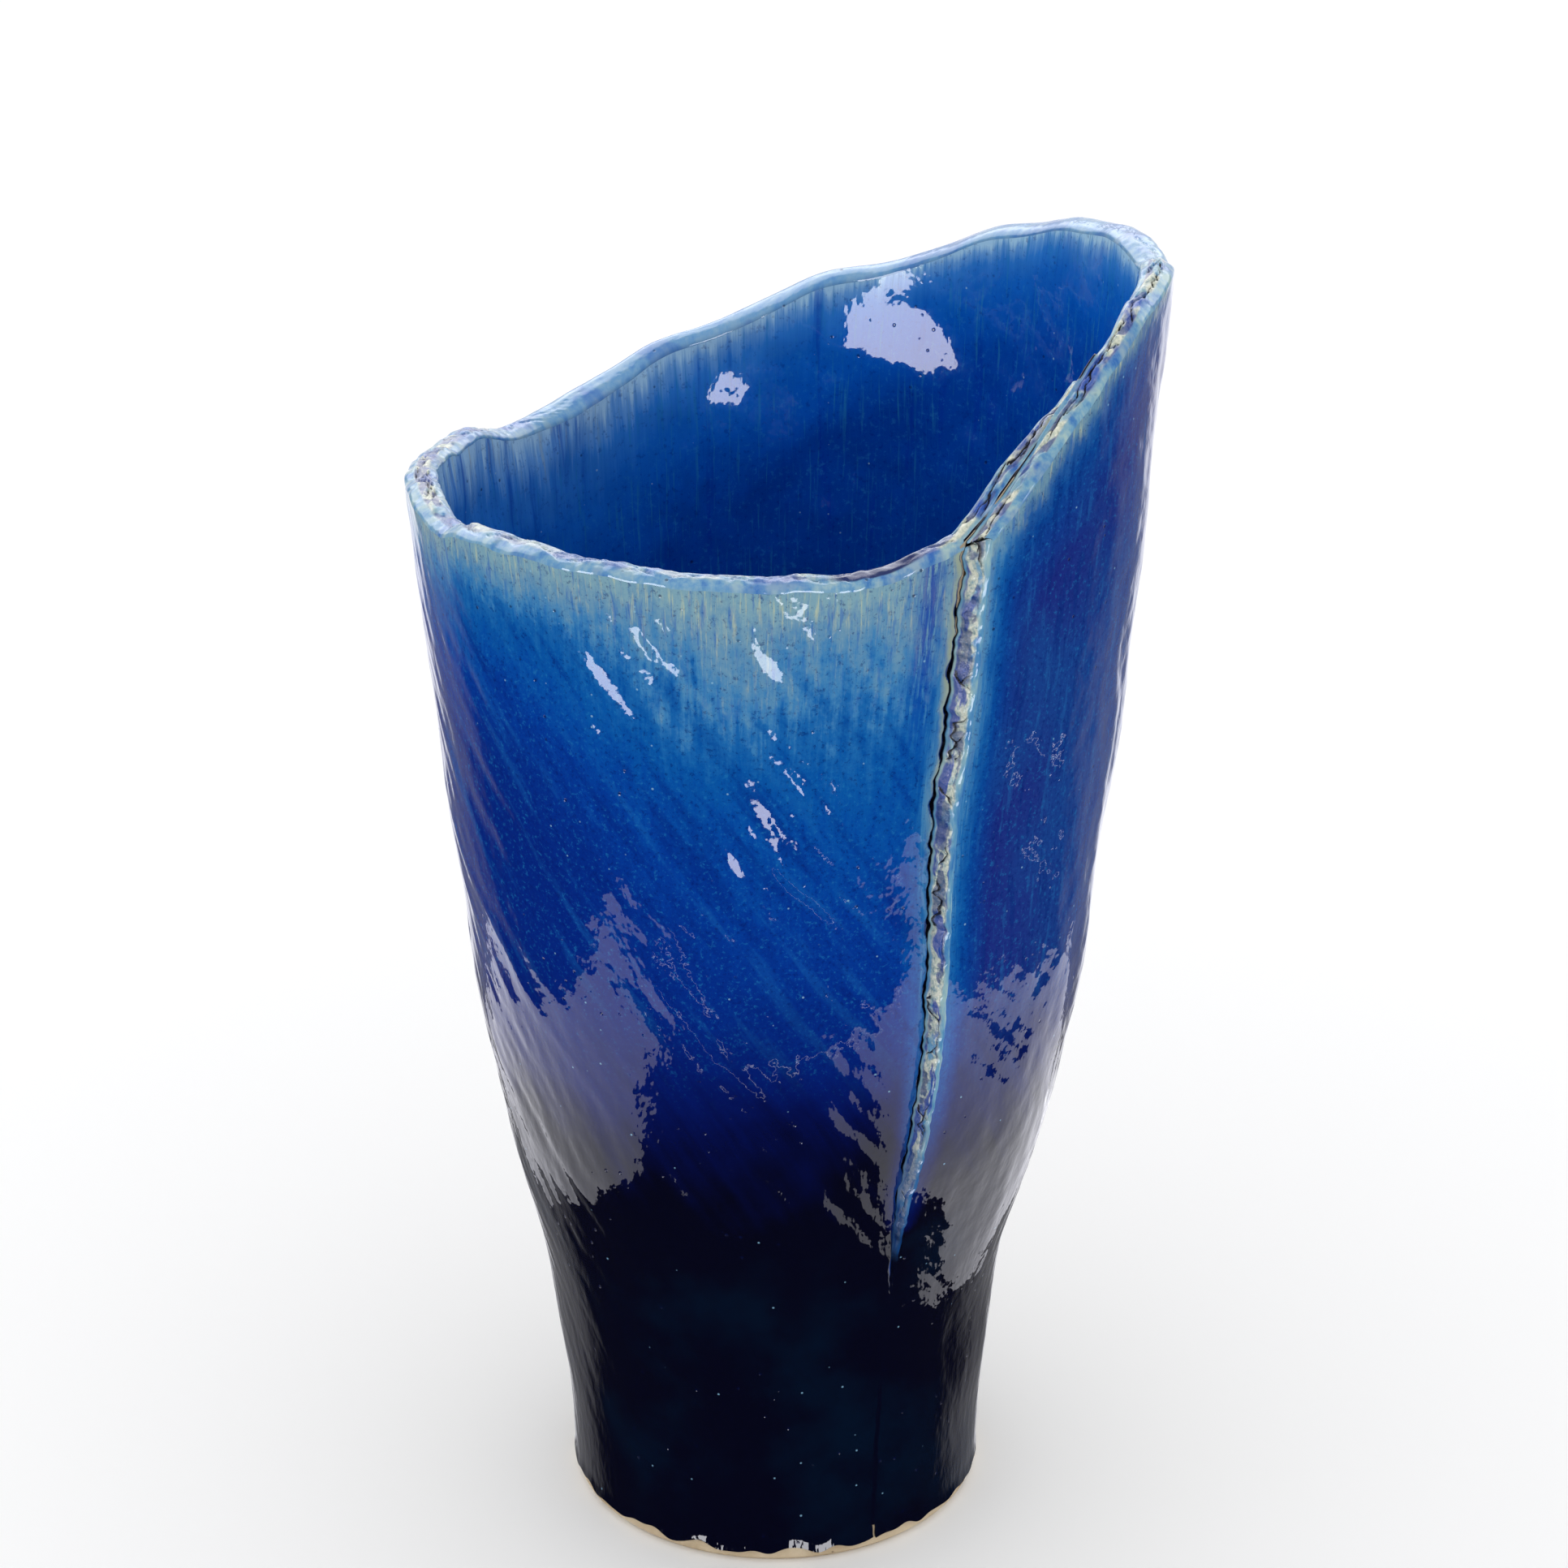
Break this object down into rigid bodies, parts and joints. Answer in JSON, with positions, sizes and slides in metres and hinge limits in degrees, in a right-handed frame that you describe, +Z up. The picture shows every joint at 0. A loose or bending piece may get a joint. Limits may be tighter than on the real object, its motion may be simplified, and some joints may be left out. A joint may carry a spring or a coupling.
{
  "type": "slab-built vase",
  "caption": "Tall tapering vase made of a clay slab wrapped round a floor disc, with a torn lap seam, a slanted torn rim and a glossy glaze, inside and out.",
  "frame": {"origin": "centre of the flat underside of the foot", "axes": "+Z up out of the mouth; -Y towards the front, where the lap seam shows, right of the middle; +X towards the high side of the rim"},
  "size_m": [0.2031, 0.196, 0.3741],
  "materials": {
    "wall_clay": "fired cream stoneware clay, rough where it is torn",
    "floor_clay": "fired cream stoneware clay, bare and matt underneath",
    "coil_clay": "fired stoneware clay, finger-pressed",
    "slip": "thin film of fired slip",
    "outer_glaze": "high-gloss cobalt glaze, paler and greener towards the rim, near black at the foot",
    "seam_glaze": "thin glossy glaze broken over torn clay, cream and pale turquoise",
    "rim_glaze": "thin glossy glaze broken over the torn lip, cream with blue pools",
    "liner_glaze": "glossy teal and cobalt glaze with vertical runs",
    "floor_glaze": "glossy dark blue glaze, pooled"
  },
  "bodies": {
    "root": {"wall_slab": "wall_clay", "floor_slab": "floor_clay", "floor_joint_coil": "coil_clay", "floor_joint_slip": "slip", "lap_joint_slip": "slip", "outer_glaze": "outer_glaze", "seam_edge_glaze": "seam_glaze", "rim_glaze": "rim_glaze", "liner_glaze": "liner_glaze", "lap_end_glaze": "liner_glaze", "floor_glaze": "floor_glaze"}
  },
  "joints": []
}
